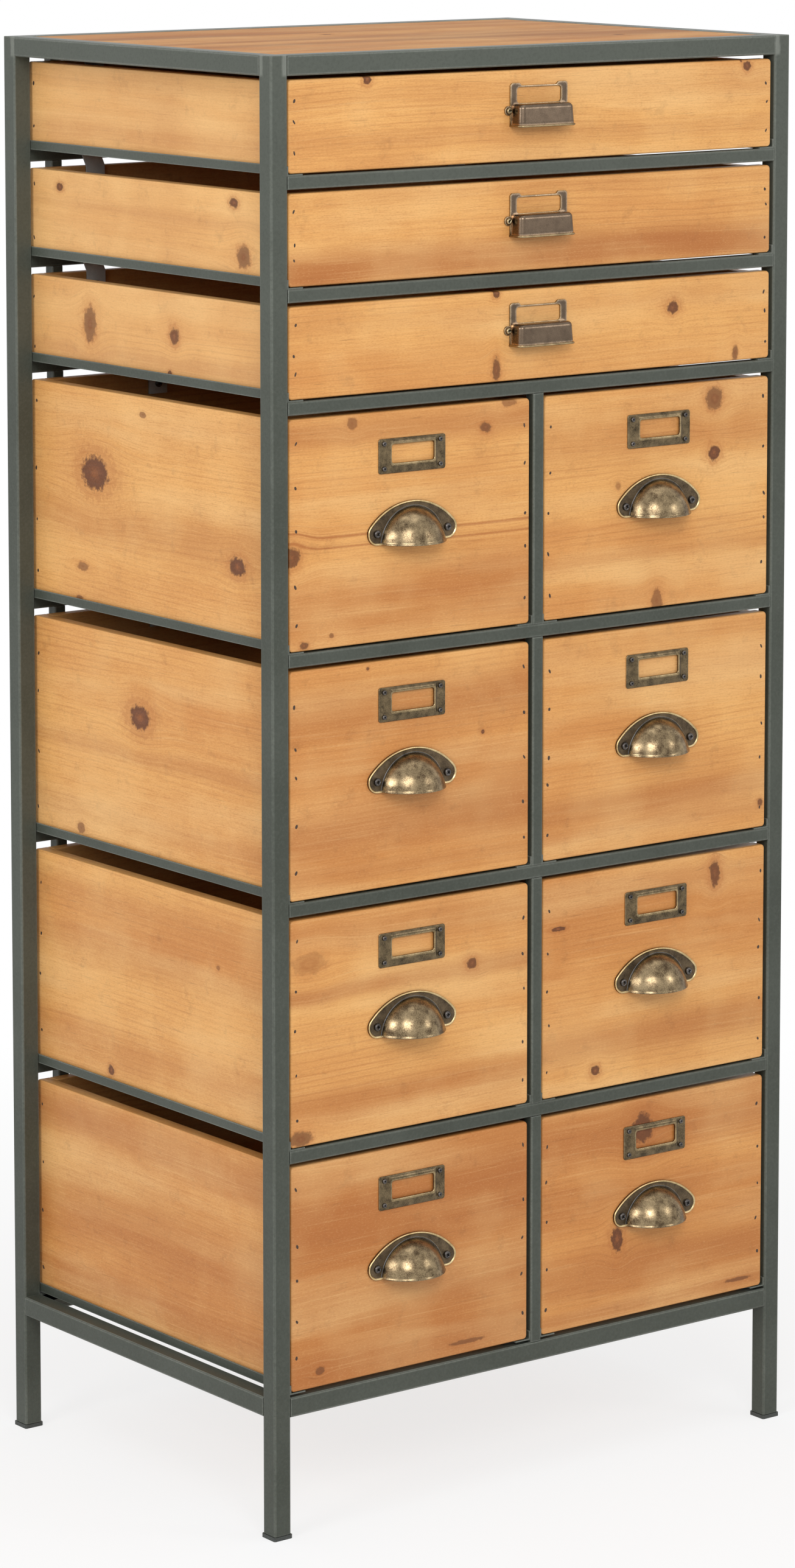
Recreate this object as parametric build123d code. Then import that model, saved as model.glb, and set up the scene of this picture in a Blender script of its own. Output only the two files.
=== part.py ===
from build123d import *
from math import cos, hypot, pi, radians, sin
import os

# Tall chest of drawers: a welded frame of square steel tube that carries wooden drawers.
# Three wide shallow drawers lie over four rows of two deep ones.
# All sizes are in millimetres. X runs to the right, the fronts face -Y, and Z is up.
# The origin is on the floor, in the middle of the whole chest with its pulls.

# Frame
width = 495.0
depth = 350.0
post = 15.0
post_wall = 1.2
post_edge = 1.0
bar = 10.0
bar_wall = 1.0
bar_edge = 0.8
leg_clearance = 92.0
lowest_bay = 177.0
deep_bay = 175.0
shallow_bay = 72.0
deep_rows = 4
shallow_rows = 3
rear_bar_inset = 42.0

# Foot caps, pressed into the open ends of the posts
cap_lip = 0.8
cap_base = 3.0
cap_plug = 12.0
cap_fit = 0.2

# Wooden top, let in flush between the top rails on four welded gussets
top_thickness = 10.0
top_gap = 0.5
top_recess = 0.4
top_edge = 0.6
gusset_leg = 24.0
gusset_sheet = 1.5

# Runners of thin angle, one under each side of every drawer
runner_sheet = 1.0
runner_rise = 7.0
runner_shelf = 14.0
runner_inset = 1.0
lowest_lift = 2.0
running_gap = 0.3

# Drawer fronts
front_thickness = 12.0
front_recess = 1.0
front_left_gap = 1.3
front_right_gap = 3.0
front_top_gap = 3.0
front_corner = 2.0
front_edge = 1.2

# Drawer boxes
board = 10.0
side_inset = 1.5
side_top_gap = 4.5
side_edge = 1.2
back_play = 0.3
bottom_sheet = 4.0
bottom_rise = 5.0
groove_depth = 5.0
groove_fit = 0.2

# Stop tabs behind the rails, which keep the drawers from falling out
stop_width = 17.0
stop_sheet = 1.5
stop_leg = 18.0
stop_screw_drop = 10.0
stop_catch = 3.5
stop_lean = 5.0
stop_step = 0.5
stop_inset = 70.0

# Screws: radius and height of the head, radius and length of the shank
cup_screw = (3.0, 1.8, 1.6, 11.0)
hood_screw = (2.4, 1.8, 1.3, 10.0)
holder_screw = (1.9, 1.2, 1.0, 8.0)
stop_screw = (3.0, 2.0, 1.6, 9.5)
screw_fit = 0.1
head_taper = 0.7
screw_sides = 6

# Cup pulls of the deep drawers
cup_rise = 80.5
cup_sheet = 1.2
cup_screw_span = 65.4
cup_ear = 8.5
cup_crown = 22.8
dome_radius = 29.2
dome_drop = 2.0
dome_depth = 23.0
dome_sides = 24
dome_steps = 4
dome_end = 78.0
ear_sides = 20
crown_sides = 48

# Label holders of the deep drawers
holder_rise = 137.5
holder_width = 62.0
holder_height = 26.0
holder_corner = 1.2
holder_sheet = 1.0
holder_screws_across = 52.2
holder_screws_up = 18.6
raised_width = 46.0
raised_height = 2.4
raised_bevel = 1.6
window_width = 39.5
window_height = 14.0
window_lift = 1.6
window_corner = 1.2
card_space = 1.2
card_margin = 1.5

# Label pulls of the wide drawers: a label frame with a hooded grip under it
hood_pull_rise = 37.7
frame_width = 54.5
frame_top = 20.5
horn_width = 9.5
horn_rise = 2.0
horn_corner = 1.2
frame_sheet = 1.2
slot_width = 42.0
slot_height = 11.8
slot_sill = 5.4
slot_corner = 1.2
ear_span = 57.8
ear_radius = 3.6
ear_neck = 5.0
hood_width = 53.0
hood_reach = 13.0
hood_top = 5.0
hood_drop = 12.0
hood_corner = 4.0
hood_crown = 2.8
hood_sheet = 1.0
hood_lip = 0.8
hood_lip_height = 1.6

# Places worked out from the sizes above
pull_reach = dome_depth - front_recess
y_front = -(depth + cap_lip - pull_reach) / 2
y_back = y_front + depth
y_face = y_front + front_recess
x_post = width / 2 - post
y_behind_front = y_face + front_thickness
y_box_end = y_back - bar - back_play


def find_bays():
    """Floor and ceiling height of each row of drawers, from the lowest up."""
    rows = []
    floor = leg_clearance + post
    openings = [lowest_bay] + [deep_bay] * (deep_rows - 1) + [shallow_bay] * shallow_rows
    for opening in openings:
        rows.append((floor, floor + opening))
        floor += opening + bar
    return rows


bays = find_bays()
height = bays[-1][1] + post


def block(x0, x1, y0, y1, z0, z1):
    """A square-edged solid between two opposite corners."""
    centre = Pos((x0 + x1) / 2, (y0 + y1) / 2, (z0 + z1) / 2)
    return centre * Box(x1 - x0, y1 - y0, z1 - z0)


def trimmed_rectangle(across, up, corner):
    """A rectangle with its corners taken off."""
    return chamfer(Rectangle(across, up).vertices(), corner)


def post_tube(length):
    """The thicker square tube, which stands on the origin."""
    inner = post - 2 * post_wall
    return extrude(trimmed_rectangle(post, post, post_edge) - Rectangle(inner, inner), length)


def bar_tube(length):
    """The thinner square tube, which stands on the origin."""
    inner = bar - 2 * bar_wall
    return extrude(trimmed_rectangle(bar, bar, bar_edge) - Rectangle(inner, inner), length)


def lay_across(tube, length, y, z):
    """Turn a tube to run across the chest, centred on the middle plane."""
    return Pos(-length / 2, y, z) * Rot(0, 90, 0) * tube


def lay_deep(tube, x, start, z):
    """Turn a tube to run from a starting depth to the back."""
    return Pos(x, start, z) * Rot(-90, 0, 0) * tube


def prism_along_y(points, y0, y1):
    """A solid with a section given as (x, z) points, from y0 back to y1."""
    outline = Polyline(*[(x, y0, z) for x, z in points], close=True)
    return extrude(make_face(outline), amount=y1 - y0, dir=(0, 1, 0))


def prism_along_x(points, x0, x1):
    """A solid with a section given as (y, z) points, from x0 to x1."""
    outline = Polyline(*[(x0, y, z) for y, z in points], close=True)
    return extrude(make_face(outline), amount=x1 - x0, dir=(1, 0, 0))


def forward(sketch, thickness):
    """A flat sketch stood upright against the plane y = 0, with its thickness towards -Y."""
    return extrude(Plane.XZ * sketch, thickness)


def rod(radius, y0, y1, tip_radius=None):
    """A rod along Y with flat sides, which may taper to another radius."""
    start = Plane((0, y0, 0), z_dir=(0, 1, 0)) * RegularPolygon(radius, screw_sides)
    if tip_radius is None:
        return extrude(start, amount=y1 - y0, dir=(0, 1, 0))
    end = Plane((0, y1, 0), z_dir=(0, 1, 0)) * RegularPolygon(tip_radius, screw_sides)
    return loft([start, end], ruled=True)


def screw(sizes):
    """A screw whose head rests on the plane y = 0 and whose shank points to +Y."""
    head_radius, head_height, shank_radius, shank_length = sizes
    head = rod(head_radius * head_taper, -head_height, 0, head_radius)
    return head + rod(shank_radius, 0, shank_length)


def pilot_hole(sizes):
    """The hole that a screw's shank goes into, from the plane y = 0 towards +Y."""
    return rod(sizes[2] + screw_fit, 0, sizes[3] + screw_fit)


def clearance_hole(sizes, thickness):
    """The hole for a shank in sheet metal that stands in front of the plane y = 0."""
    return rod(sizes[2] + screw_fit, -2 * thickness, thickness)


# Frame


def corner_posts():
    """Four posts with closed tops, open below for the foot caps."""
    length = height - cap_base
    inner = post - 2 * post_wall
    upright = extrude(trimmed_rectangle(post, post, post_edge), length)
    upright -= Pos(0, 0, (length - post_wall) / 2) * Box(inner, inner, length - post_wall)
    return [Pos(x, y, cap_base) * upright for x, y in post_centres()]


def post_centres():
    """The middle of each post in plan."""
    x = width / 2 - post / 2
    near = y_front + post / 2
    far = y_back - post / 2
    return [(-x, near), (x, near), (-x, far), (x, far)]


def foot_caps():
    """Plastic inserts with a small lip that stands proud of each post."""
    side = post + 2 * cap_lip
    plug_side = post - 2 * post_wall - 2 * cap_fit
    base = extrude(trimmed_rectangle(side, side, post_edge), cap_base)
    plug = Pos(0, 0, cap_base + cap_plug / 2) * Box(plug_side, plug_side, cap_plug)
    return [Pos(x, y, 0) * (base + plug) for x, y in post_centres()]


def rail_ring(z):
    """Four tubes between the posts at one height: front, back, left and right."""
    near = y_front + post / 2
    far = y_back - post / 2
    side = width / 2 - post / 2
    across = post_tube(2 * x_post)
    deep = post_tube(depth - 2 * post)
    rails = [lay_across(across, 2 * x_post, y, z) for y in (near, far)]
    for x in (-side, side):
        rails.append(lay_deep(deep, x, y_front + post, z))
    return rails


def top_gussets():
    """Triangular plates in the corners of the top rails, under the wooden top."""
    top = height - top_recess - top_thickness
    plates = []
    for side_x, side_y, corner_y in ((-1, 1, y_front + post), (1, 1, y_front + post),
                                     (-1, -1, y_back - post), (1, -1, y_back - post)):
        x = side_x * x_post
        outline = Polyline(
            (x, corner_y),
            (x - side_x * gusset_leg, corner_y),
            (x, corner_y + side_y * gusset_leg),
            close=True,
        )
        plate = extrude(make_face(outline), amount=gusset_sheet, dir=(0, 0, 1))
        plates.append(Pos(0, 0, top - gusset_sheet) * plate)
    return plates


def top_panel():
    """The wooden top, glued up from strips."""
    x = x_post - top_gap
    top = height - top_recess
    panel = block(-x, x, y_front + post + top_gap, y_back - post - top_gap, top - top_thickness, top)
    return [chamfer(panel.faces().sort_by(Axis.Z)[-1].edges(), top_edge)]


def cross_rails(y):
    """The thin rails between the rows of drawers, at the front or at the back."""
    rail = bar_tube(2 * x_post)
    return [lay_across(rail, 2 * x_post, y, ceiling + bar / 2) for floor, ceiling in bays[:-1]]


def uprights(x, y, rows):
    """Short pieces of thin tube that stand between the cross rails."""
    return [Pos(x, y, floor) * bar_tube(ceiling - floor) for floor, ceiling in rows]


def front_rails():
    """Cross rails and the divider between the two columns of deep drawers."""
    y = y_front + bar / 2
    return cross_rails(y) + uprights(0, y, bays[:deep_rows])


def rear_rails():
    """Cross rails, two full-height bars and the divider at the back."""
    y = y_back - bar / 2
    x = width / 2 - rear_bar_inset
    return (cross_rails(y) + uprights(-x, y, bays) + uprights(x, y, bays)
            + uprights(0, y, bays[:deep_rows]))


def runner_level(row):
    """Height of the underside of a row's runners."""
    floor = bays[row][0]
    return floor + lowest_lift if row == 0 else floor


def runner(x, towards, z):
    """One angle: its rise stands against x and its shelf reaches inwards."""
    outline = [
        (x, z),
        (x + towards * runner_shelf, z),
        (x + towards * runner_shelf, z + runner_sheet),
        (x + towards * runner_sheet, z + runner_sheet),
        (x + towards * runner_sheet, z + runner_rise),
        (x, z + runner_rise),
    ]
    return prism_along_y(outline, y_front + runner_inset, y_back - runner_inset)


def drawer_runners():
    """Two runners for each drawer."""
    angles = []
    for row in range(len(bays)):
        z = runner_level(row)
        angles.append(runner(-x_post, 1, z))
        angles.append(runner(x_post, -1, z))
        if row < deep_rows:
            angles.append(runner(-bar / 2, -1, z))
            angles.append(runner(bar / 2, 1, z))
    return angles


# Drawers


def front_span(bay_left, bay_right):
    """Left and right edge of a drawer front in its bay."""
    return bay_left + front_left_gap, bay_right - front_right_gap


def front_bottom(row):
    """Height of the bottom edge of a row's drawer fronts and boxes."""
    return runner_level(row) + runner_sheet + running_gap


def groove(x0, x1, y0, y1, row):
    """The slot that the edge of a drawer bottom lies in."""
    z = front_bottom(row) + bottom_rise
    return block(x0, x1, y0, y1, z - groove_fit, z + bottom_sheet + groove_fit)


def drawer_front(bay_left, bay_right, row, screws):
    """A front board with softened edges, a slot for the bottom and pilot holes."""
    left, right = front_span(bay_left, bay_right)
    bottom = front_bottom(row)
    top = bays[row][1] - front_top_gap
    shape = block(left, right, y_face, y_behind_front, bottom, top)
    shape = chamfer(shape.edges().filter_by(Axis.Y), front_corner)
    shape = chamfer(shape.faces().sort_by(Axis.Y)[0].edges(), front_edge)
    slot_left = left + side_inset + board - groove_depth
    slot_right = right - side_inset - board + groove_depth
    shape -= groove(slot_left, slot_right, y_behind_front - groove_depth, y_behind_front + 1, row)
    for x, z, sizes, sheet in screws:
        shape -= Pos(x, y_face, z) * pilot_hole(sizes)
    return [shape]


def drawer_box(bay_left, bay_right, row, stops):
    """Two sides, a back and a bottom that lies in a slot all round."""
    left, right = front_span(bay_left, bay_right)
    left += side_inset
    right -= side_inset
    bottom = front_bottom(row)
    top = bays[row][1] - side_top_gap
    back_face = y_box_end - board
    slot_left = left + board - groove_depth
    slot_right = right - board + groove_depth
    slot_end = back_face + groove_depth
    slot = groove(slot_left, slot_right, y_behind_front - 1, slot_end, row)
    pieces = []
    for x0 in (left, right - board):
        side = block(x0, x0 + board, y_behind_front, y_box_end, bottom, top)
        upper = side.faces().sort_by(Axis.Z)[-1].edges().filter_by(Axis.Y)
        pieces.append(chamfer(upper, side_edge) - slot)
    back = block(left + board, right - board, back_face, y_box_end, bottom, top) - slot
    for x in stops:
        hole = Pos(x, back_face, top - stop_screw_drop) * pilot_hole(stop_screw)
        back -= hole
    pieces.append(back)
    z = bottom + bottom_rise
    pieces.append(block(slot_left + groove_fit, slot_right - groove_fit,
                        y_behind_front - groove_depth + groove_fit, slot_end - groove_fit,
                        z, z + bottom_sheet))
    return pieces


def stop_tab(x, row):
    """A bent steel tab on the back board, whose top catches the rail when the drawer is out."""
    y = y_box_end - board
    top = bays[row][1] - side_top_gap
    bend = top + stop_step
    tip = bays[row][1] + stop_catch
    strip = prism_along_x(
        [
            (y, top - stop_leg),
            (y - stop_sheet, top - stop_leg),
            (y - stop_sheet, bend),
            (y - stop_sheet + stop_lean, tip),
            (y + stop_lean, tip),
            (y, bend),
        ],
        x - stop_width / 2,
        x + stop_width / 2,
    )
    z = top - stop_screw_drop
    strip -= Pos(x, y, z) * clearance_hole(stop_screw, stop_sheet)
    return [strip, Pos(x, y - stop_sheet, z) * screw(stop_screw)]


# Pulls and label holders, each made against the plane y = 0 and pointing to -Y


def cup_plate_outline():
    """The flat flange: two round ears under one wide arc."""
    half = cup_screw_span / 2
    arc_radius = (half ** 2 + cup_crown ** 2 - cup_ear ** 2) / (2 * (cup_crown - cup_ear))
    arc_centre = cup_crown - arc_radius
    reach = arc_radius / hypot(half, arc_centre)
    shoulder_x = half * reach
    shoulder_z = arc_centre - arc_centre * reach
    crown = Pos(0, arc_centre) * RegularPolygon(arc_radius, crown_sides)
    crown &= Pos(0, shoulder_z + cup_crown) * Rectangle(4 * half, 2 * cup_crown)
    body = make_face(Polyline((-half, -cup_ear), (half, -cup_ear), (shoulder_x, shoulder_z),
                              (-shoulder_x, shoulder_z), close=True))
    ear = RegularPolygon(cup_ear, ear_sides)
    ears = Pos(-half, 0) * ear + Pos(half, 0) * ear
    return crown + body + ears


def facet(corners):
    """A flat face between its corners."""
    return make_face(Polyline(*corners, close=True)).face()


def bowl(radius, depth):
    """A flattened round bowl of flat facets, whose wide end lies in the plane y = 0."""
    rings = []
    for step in range(dome_steps + 1):
        angle = radians(dome_end * step / dome_steps)
        inset = -depth * sin(angle) / sin(radians(dome_end))
        reach = radius * cos(angle)
        turns = [2 * pi * side / dome_sides for side in range(dome_sides)]
        rings.append([(reach * cos(turn), inset, reach * sin(turn)) for turn in turns])
    faces = [facet(rings[0]), facet(rings[-1])]
    for near, far in zip(rings, rings[1:]):
        for side in range(dome_sides):
            faces.append(facet([near[side - 1], near[side], far[side], far[side - 1]]))
    return Solid(Shell(faces))


def cup_dome():
    """Half a round bowl of thin metal, open below."""
    shell = Part() + bowl(dome_radius, dome_depth)
    shell -= bowl(dome_radius - cup_sheet, dome_depth - cup_sheet)
    reach = 2 * dome_radius
    upper_half = block(-reach, reach, -reach, 0, -cup_ear, reach)
    return Pos(0, 0, -cup_ear - dome_drop) * shell & upper_half


def cup_pull():
    """A stamped cup pull: flange and dome in one piece."""
    hollow = Pos(0, -cup_ear - dome_drop) * RegularPolygon(dome_radius - cup_sheet, dome_sides)
    plate = forward(cup_plate_outline() - hollow, cup_sheet)
    pull = plate + cup_dome()
    for x in (-cup_screw_span / 2, cup_screw_span / 2):
        pull -= Pos(x, 0, 0) * clearance_hole(cup_screw, cup_sheet)
    return pull


def holder_screw_places():
    """Where the four small screws go, from the middle of the label holder."""
    x = holder_screws_across / 2
    z = holder_screws_up / 2
    return [(-x, -z), (x, -z), (-x, z), (x, z)]


def label_holder():
    """A flat plate with a raised, windowed middle that holds a card."""
    plate = forward(trimmed_rectangle(holder_width, holder_height, holder_corner), holder_sheet)
    raised = forward(Rectangle(raised_width, holder_height), raised_height)
    raised = chamfer(raised.faces().sort_by(Axis.Y)[0].edges(), raised_bevel)
    window = trimmed_rectangle(window_width, window_height, window_corner)
    opening = forward(Pos(0, window_lift) * window, raised_height)
    card_width = window_width + 2 * card_margin
    card_height = window_height + 2 * card_margin
    card = forward(Pos(0, window_lift) * Rectangle(card_width, card_height), card_space)
    holder = plate + raised - opening - card
    for x, z in holder_screw_places():
        holder -= Pos(x, 0, z) * clearance_hole(holder_screw, holder_sheet)
    return holder


def hood_shape(half_width, reach, top, bottom, corner, crown):
    """A closed hood with cut corners in plan and a sloped upper edge."""
    shape = block(-half_width, half_width, -reach, reach, bottom, top)
    shape = chamfer(shape.edges().filter_by(Axis.Z), corner)
    shape = chamfer(shape.faces().sort_by(Axis.Z)[-1].edges(), crown)
    return shape & block(-half_width, half_width, -reach, 0, bottom, top)


def hood_rim():
    """The rolled lip along the lower edge of a hood."""
    rim = trimmed_rectangle(hood_width + 2 * hood_lip, 2 * (hood_reach + hood_lip), hood_corner)
    inner_width = hood_width - 2 * hood_sheet
    rim -= trimmed_rectangle(inner_width, 2 * (hood_reach - hood_sheet), hood_corner - hood_sheet)
    reach = 2 * hood_width
    front_half = block(-reach, reach, -reach, 0, -reach, reach)
    return Pos(0, 0, -hood_drop) * extrude(rim, hood_lip_height) & front_half


def hood_pull():
    """A label frame with horned upper corners, a screw ear on each side and a hooded grip."""
    half = frame_width / 2
    shoulder = frame_top - horn_rise
    sketch = Pos(0, (shoulder - hood_drop) / 2) * Rectangle(frame_width, shoulder + hood_drop)
    for x in (-half + horn_width / 2, half - horn_width / 2):
        horn = trimmed_rectangle(horn_width, 2 * horn_rise + 2 * horn_corner, horn_corner)
        sketch += Pos(x, frame_top - horn_rise - horn_corner) * horn
    sketch += Rectangle(ear_span, ear_neck)
    for x in (-ear_span / 2, ear_span / 2):
        sketch += Pos(x, 0) * RegularPolygon(ear_radius, ear_sides)
    slot = trimmed_rectangle(slot_width, slot_height, slot_corner)
    sketch -= Pos(0, slot_sill + slot_height / 2) * slot
    grip_width = hood_width - 2 * hood_sheet
    grip = Pos(0, (hood_top - hood_sheet - hood_drop) / 2)
    sketch -= grip * Rectangle(grip_width, hood_drop + hood_top - hood_sheet)
    outer = hood_shape(hood_width / 2, hood_reach, hood_top, -hood_drop, hood_corner, hood_crown)
    hollow = hood_shape(grip_width / 2, hood_reach - hood_sheet, hood_top - hood_sheet, -hood_drop,
                        hood_corner - hood_sheet, hood_crown - hood_sheet)
    pull = forward(sketch, frame_sheet) + (outer - hollow) + hood_rim()
    for x in (-ear_span / 2, ear_span / 2):
        pull -= Pos(x, 0, 0) * clearance_hole(hood_screw, frame_sheet)
    return pull


# Assembly


def save(name, pieces):
    """Write one named group of separate solids."""
    solids = []
    for piece in pieces:
        solids.extend(piece.solids())
    export_step(Compound(children=solids), f"parts/{name}.step")


def save_screws(name, screws, stops, row):
    """Write a drawer's screws with its stop tabs."""
    pieces = [Pos(x, y_face - sheet, z) * screw(sizes) for x, z, sizes, sheet in screws]
    for x in stops:
        pieces.extend(stop_tab(x, row))
    save(name, pieces)


def make_wide_drawer(name, row, pull):
    """One full-width shallow drawer with a hooded label pull."""
    left, right = front_span(-x_post, x_post)
    x = (left + right) / 2
    z = front_bottom(row) + hood_pull_rise
    screws = [(x + side * ear_span / 2, z, hood_screw, frame_sheet) for side in (-1, 1)]
    stops = [side * (width / 2 - stop_inset) for side in (-1, 1)]
    save(f"{name}_front", drawer_front(-x_post, x_post, row, screws))
    save(f"{name}_box", drawer_box(-x_post, x_post, row, stops))
    save(f"{name}_label_pull", [Pos(x, y_face, z) * pull])
    save_screws(f"{name}_screws_and_stops", screws, stops, row)


def make_deep_drawer(name, row, bay_left, bay_right, pull, holder):
    """One half-width deep drawer with a cup pull under a label holder."""
    left, right = front_span(bay_left, bay_right)
    x = (left + right) / 2
    z = front_bottom(row) + cup_rise
    holder_z = front_bottom(row) + holder_rise
    screws = [(x + side * cup_screw_span / 2, z, cup_screw, cup_sheet) for side in (-1, 1)]
    for across, up in holder_screw_places():
        screws.append((x + across, holder_z + up, holder_screw, holder_sheet))
    stops = [(bay_left + bay_right) / 2]
    save(f"{name}_front", drawer_front(bay_left, bay_right, row, screws))
    save(f"{name}_box", drawer_box(bay_left, bay_right, row, stops))
    save(f"{name}_cup_pull", [Pos(x, y_face, z) * pull])
    save(f"{name}_label_holder", [Pos(x, y_face, holder_z) * holder])
    save_screws(f"{name}_screws_and_stop", screws, stops, row)


def make_frame():
    """Write everything that stays still."""
    save("corner_posts", corner_posts())
    save("foot_caps", foot_caps())
    save("top_rails", rail_ring(height - post / 2) + top_gussets())
    save("bottom_rails", rail_ring(leg_clearance + post / 2))
    save("top_panel", top_panel())
    save("front_rails", front_rails())
    save("rear_rails", rear_rails())
    save("drawer_runners", drawer_runners())


def make_drawers():
    """Write every drawer, numbered from the top down."""
    label_pull = hood_pull()
    for number in range(1, shallow_rows + 1):
        make_wide_drawer(f"wide_drawer_{number}", len(bays) - number, label_pull)
    pull = cup_pull()
    holder = label_holder()
    for number in range(1, deep_rows + 1):
        row = deep_rows - number
        make_deep_drawer(f"left_drawer_{number}", row, -x_post, -bar / 2, pull, holder)
        make_deep_drawer(f"right_drawer_{number}", row, bar / 2, x_post, pull, holder)


os.makedirs("parts", exist_ok=True)
make_frame()
make_drawers()
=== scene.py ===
import math
import random

import bmesh
import bpy
from mathutils import Matrix, Vector


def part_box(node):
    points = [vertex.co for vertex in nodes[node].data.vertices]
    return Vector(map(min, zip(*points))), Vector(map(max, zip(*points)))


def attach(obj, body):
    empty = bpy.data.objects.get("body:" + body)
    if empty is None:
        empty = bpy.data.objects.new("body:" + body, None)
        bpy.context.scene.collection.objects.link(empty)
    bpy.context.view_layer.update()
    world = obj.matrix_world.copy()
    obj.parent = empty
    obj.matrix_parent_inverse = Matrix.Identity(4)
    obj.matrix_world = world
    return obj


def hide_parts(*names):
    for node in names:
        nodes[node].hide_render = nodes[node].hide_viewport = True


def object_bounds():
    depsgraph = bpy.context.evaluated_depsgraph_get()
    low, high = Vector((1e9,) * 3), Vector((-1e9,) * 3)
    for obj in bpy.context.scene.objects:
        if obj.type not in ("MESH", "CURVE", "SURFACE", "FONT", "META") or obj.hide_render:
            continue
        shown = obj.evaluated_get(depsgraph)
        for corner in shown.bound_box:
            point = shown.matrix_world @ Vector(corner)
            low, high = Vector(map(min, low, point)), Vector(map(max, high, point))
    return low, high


# Looks of the tall chest of drawers. All places are in metres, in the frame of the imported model:
# X runs to the right, the drawers open towards -Y, and Z is up. Sizes that end in _mm are in
# millimetres.

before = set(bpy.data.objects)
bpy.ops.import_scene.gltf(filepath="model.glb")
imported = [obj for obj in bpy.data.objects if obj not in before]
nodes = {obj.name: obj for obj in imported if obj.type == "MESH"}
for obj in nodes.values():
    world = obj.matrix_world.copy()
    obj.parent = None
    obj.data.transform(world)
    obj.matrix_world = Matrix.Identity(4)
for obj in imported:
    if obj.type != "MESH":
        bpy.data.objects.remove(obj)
cad_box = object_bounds()
chance = random.Random(11)
mm = 0.001

# The photograph's camera, placed from the front left lower corner of the frame
photo_height = 2576
focal_pixels = 8603.0
optical_row = 669.8
camera_yaw = math.radians(37.306)
camera_pitch = math.radians(6.983)
camera_from_corner = Vector((-2.1994, -3.0362, 1.3056))
sensor = 36.0

# Drawers, by the names of their bodies
wide_drawers = [f"wide_drawer_{n}" for n in range(1, 4)]
deep_drawers = [f"{side}_drawer_{n}" for side in ("left", "right") for n in range(1, 5)]

# Frame
tube_mm = 15.0
cap_lip_mm = 0.8
rail_edge_mm = 0.5
thin_rail_edge_mm = 0.4
top_edge_mm = 0.6

# Boards
board_mm = 10.0
front_corner_mm = 3.0
front_edge_mm = 1.5
board_edge_mm = 0.9
hidden_edge_mm = 0.25
bottom_rise_mm = 5.0
bottom_sheet_mm = 4.0
bottom_in_groove_mm = 4.8
side_swell_mm = 0.6

# Nails, driven through the fronts into the sides and through the sides into the back
nail_inset_mm = 5.0
nail_radius_mm = (0.95, 1.5)
nail_proud_mm = 0.05
nail_margin_mm = 6.0
nail_wander_mm = 1.2
side_nail_inset_mm = (3.5, 6.5)

# Cup pull, from its own middle between the two screws
cup_half_span_mm = 32.7
cup_ear_mm = 8.5
cup_crown_mm = 22.8
cup_sheet_mm = 1.2
dome_radius_mm = 29.2
dome_depth_mm = 22.6
dome_drop_mm = 2.0

# Label holder
holder_half_mm = (31.0, 13.0)
holder_screws_mm = (26.1, 9.3)
holder_sheet_mm = 1.0
window_half_mm = (19.75, 7.0)
window_lift_mm = 1.6

# Label pull, from its own middle between the two screws
hood_drop_mm = 12.0
hood_half_mm = 26.5
hood_reach_mm = 13.0
hood_top_mm = 5.0
frame_half_mm = 27.25
frame_top_mm = 20.5
frame_sheet_mm = 1.2
frame_corner_mm = 2.4
hood_ear_mm = (28.9, 3.6)
horn_mm = (8.4, 2.0)
slot_half_mm = (21.0, 5.9)
slot_lift_mm = 11.3

# Ground welds at the ends of the top rails, from the outside of the posts
weld_inset_mm = 12.5
weld_half_width_mm = 3.2

# Screw heads: radius and height
cup_screw_mm = (3.0, 1.8)
hood_screw_mm = (2.4, 1.8)
holder_screw_mm = (1.9, 1.2)
stop_screw_mm = (3.0, 2.0)

# Stop tabs
stop_width_mm = 17.0
stop_sheet_mm = 1.5
stop_leg_mm = 18.0
stop_screw_drop_mm = 10.0
stop_rise_mm = 8.0
stop_lean_mm = 5.0
stop_inset_mm = 70.0

# Colours of paint and wood, in linear light
paint_colour = (0.049, 0.056, 0.043)
# Paler paint, for random patches and also as painted light that makes the frame paler towards its top
paint_pale_and_lit_top = (0.090, 0.100, 0.083)
# Worn paint at ground welds and scuffs; along the edges it is also a painted highlight
paint_worn_and_edge_sheen = (0.27, 0.285, 0.25)
wood_pale = (0.88, 0.57, 0.25)
wood_light = (0.79, 0.410, 0.130)
wood_mid = (0.64, 0.275, 0.075)
wood_red = (0.42, 0.140, 0.034)
wood_dark = (0.115, 0.038, 0.012)
knot_colour = (0.21, 0.066, 0.023)

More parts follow.
